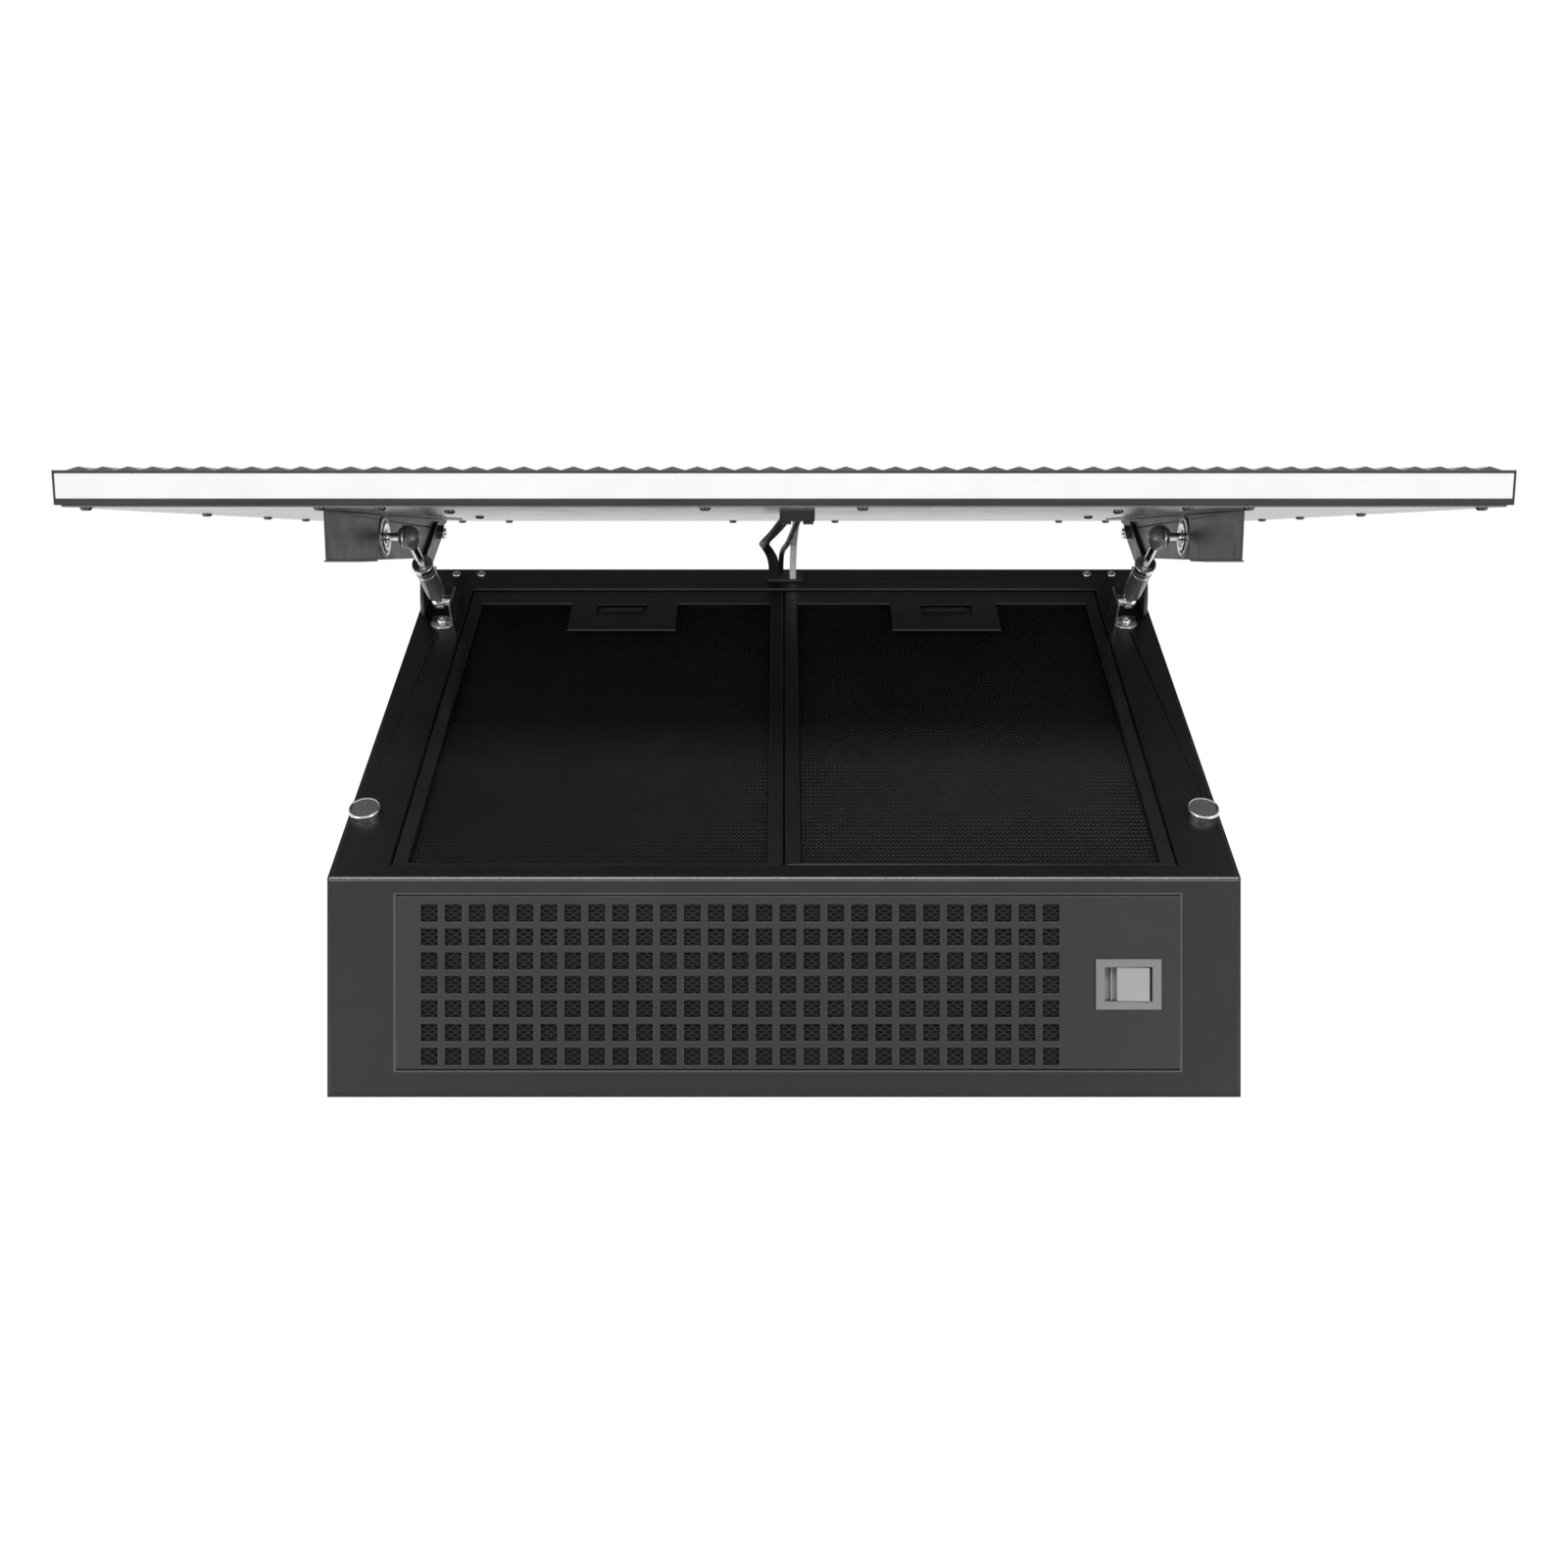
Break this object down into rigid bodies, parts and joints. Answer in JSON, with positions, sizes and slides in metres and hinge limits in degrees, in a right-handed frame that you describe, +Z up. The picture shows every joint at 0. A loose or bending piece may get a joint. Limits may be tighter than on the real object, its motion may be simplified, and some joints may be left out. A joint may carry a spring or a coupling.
{
  "type": "range hood",
  "caption": "Angled wall range hood with a wide fluted front panel on hinge arms and gas struts, open over mesh filters, a square-hole grille, a rocker switch and a duct collar with a damper.",
  "frame": {"origin": "middle of the four wall holes, on the casing's back face", "axes": "+X to the user's right, -Y out of the wall towards the user, +Z up; at rest the panel stands open, as for cleaning the filters"},
  "size_m": [0.9, 0.4841, 0.534],
  "materials": {
    "black_paint": "satin",
    "grey_steel": "satin",
    "zinc_sheet": "galvanised",
    "filter_black": "powder coated",
    "mesh_black": "expanded metal",
    "pad_black": "fibre pad",
    "rocker_grey": "satin",
    "bezel_grey": "satin",
    "bright_metal": "polished",
    "dark_metal": "satin",
    "magnet_grey": "matt",
    "flute_grey": "matt",
    "frame_aluminium": "satin",
    "cover_grey": "gloss",
    "band_white": "opal, lit",
    "board_white": "circuit board",
    "screw_dark": "black oxide",
    "plastic_black": "moulded",
    "plastic_grey": "moulded",
    "fan_plastic": "moulded",
    "lead_black": "smooth",
    "lead_white": "smooth",
    "can_aluminium": "satin"
  },
  "bodies": {
    "casing": {"front_shell": "black_paint", "side_panel_left": "black_paint", "side_panel_right": "black_paint", "back_panel": "zinc_sheet", "top_panel": "black_paint", "filter_tray": "black_paint", "grille_panel": "grey_steel", "grille_pad": "pad_black", "switch_housing": "bezel_grey", "duct_collar": "plastic_black", "flap_pins": "bright_metal", "blower_housing": "zinc_sheet", "motor": "zinc_sheet", "motor_bracket": "zinc_sheet", "capacitor": "can_aluminium", "control_box": "plastic_grey", "led_driver": "plastic_grey", "hinge_arms": "dark_metal", "hinge_arm_bolts": "bright_metal", "panel_pivot_bolts": "bright_metal", "bumper_cups": "bright_metal", "bumper_magnets": "magnet_grey", "strut_feet": "bright_metal", "strut_foot_screws": "bright_metal", "strut_foot_studs": "bright_metal", "casing_screws": "screw_dark", "cable_grommet": "plastic_grey", "mains_gland": "plastic_black", "lead_sleeve": "lead_black", "lead_black": "lead_black", "lead_white": "lead_white"},
    "panel": {"fluted_front": "flute_grey", "panel_frame": "frame_aluminium", "light_diffuser": "band_white", "light_strip": "board_white", "back_cover": "cover_grey", "cheek_left": "dark_metal", "cheek_right": "dark_metal", "strut_plates": "bright_metal", "back_screws": "screw_dark", "cable_clamp": "plastic_black"},
    "rotor": {"impeller": "fan_plastic", "motor_shaft": "bright_metal"},
    "rocker": {"switch_rocker": "rocker_grey"},
    "damper_front": {"flap_front": "plastic_black"},
    "damper_back": {"flap_back": "plastic_black"},
    "filter_left": {"filter_frame_left": "filter_black", "filter_mesh_left": "mesh_black"},
    "latch_left": {"filter_latch_left": "filter_black"},
    "tube_left": {"strut_tube_left": "bright_metal"},
    "rod_left": {"strut_rod_left": "bright_metal", "strut_socket_left": "dark_metal", "strut_stud_left": "bright_metal"},
    "filter_right": {"filter_frame_right": "filter_black", "filter_mesh_right": "mesh_black"},
    "latch_right": {"filter_latch_right": "filter_black"},
    "tube_right": {"strut_tube_right": "bright_metal"},
    "rod_right": {"strut_rod_right": "bright_metal", "strut_socket_right": "dark_metal", "strut_stud_right": "bright_metal"}
  },
  "joints": [
    {"name": "panel_tilt", "type": "hinge", "parent": "casing", "child": "panel", "pos_m": [0, -0.42087, 0.14553], "axis": [1, 0, 0], "range_deg": [0, 30], "deforming": ["lead_sleeve", "lead_black", "lead_white"]},
    {"name": "fan_spin", "type": "hinge", "parent": "casing", "child": "rotor", "pos_m": [0, -0.112, -0.01], "axis": [1, 0, 0], "continuous": true},
    {"name": "rocker_tilt", "type": "hinge", "parent": "casing", "child": "rocker", "pos_m": [0.226, -0.0742, -0.149], "axis": [0, -1, 0], "range_deg": [0, 12]},
    {"name": "front_flap_lift", "type": "hinge", "parent": "casing", "child": "damper_front", "pos_m": [0, -0.135, 0.17], "axis": [-1, 0, 0], "range_deg": [0, 80]},
    {"name": "back_flap_lift", "type": "hinge", "parent": "casing", "child": "damper_back", "pos_m": [0, -0.125, 0.17], "axis": [1, 0, 0], "range_deg": [0, 80]},
    {"name": "filter_out_left", "type": "slide", "parent": "casing", "child": "filter_left", "axis": [0, -0.7777, -0.6287], "range_m": [0, 0.02]},
    {"name": "latch_pull_left", "type": "slide", "parent": "filter_left", "child": "latch_left", "axis": [0, 0.6287, -0.7777], "range_m": [0, 0.006], "stiffness_N_per_m": 300, "springref_m": -0.002},
    {"name": "strut_swing_left", "type": "hinge", "parent": "casing", "child": "tube_left", "pos_m": [-0.28, -0.35481, 0.08449], "axis": [1, 0, 0], "range_deg": [0, 52]},
    {"name": "strut_slide_left", "type": "slide", "parent": "tube_left", "child": "rod_left", "axis": [0, -0.3228, -0.9465], "range_m": [-0.031, 0]},
    {"name": "filter_out_right", "type": "slide", "parent": "casing", "child": "filter_right", "axis": [0, -0.7777, -0.6287], "range_m": [0, 0.02]},
    {"name": "latch_pull_right", "type": "slide", "parent": "filter_right", "child": "latch_right", "axis": [0, 0.6287, -0.7777], "range_m": [0, 0.006], "stiffness_N_per_m": 300, "springref_m": -0.002},
    {"name": "strut_swing_right", "type": "hinge", "parent": "casing", "child": "tube_right", "pos_m": [0.28, -0.35481, 0.08449], "axis": [1, 0, 0], "range_deg": [0, 52]},
    {"name": "strut_slide_right", "type": "slide", "parent": "tube_right", "child": "rod_right", "axis": [0, -0.3228, -0.9465], "range_m": [-0.031, 0]}
  ],
  "couplings": [
    {"joint": "strut_swing_left", "follows": "panel_tilt", "ratio": 1.7288},
    {"joint": "strut_slide_left", "follows": "panel_tilt", "m_per_rad": -0.058411},
    {"joint": "strut_swing_right", "follows": "panel_tilt", "ratio": 1.7288},
    {"joint": "strut_slide_right", "follows": "panel_tilt", "m_per_rad": -0.058411}
  ]
}
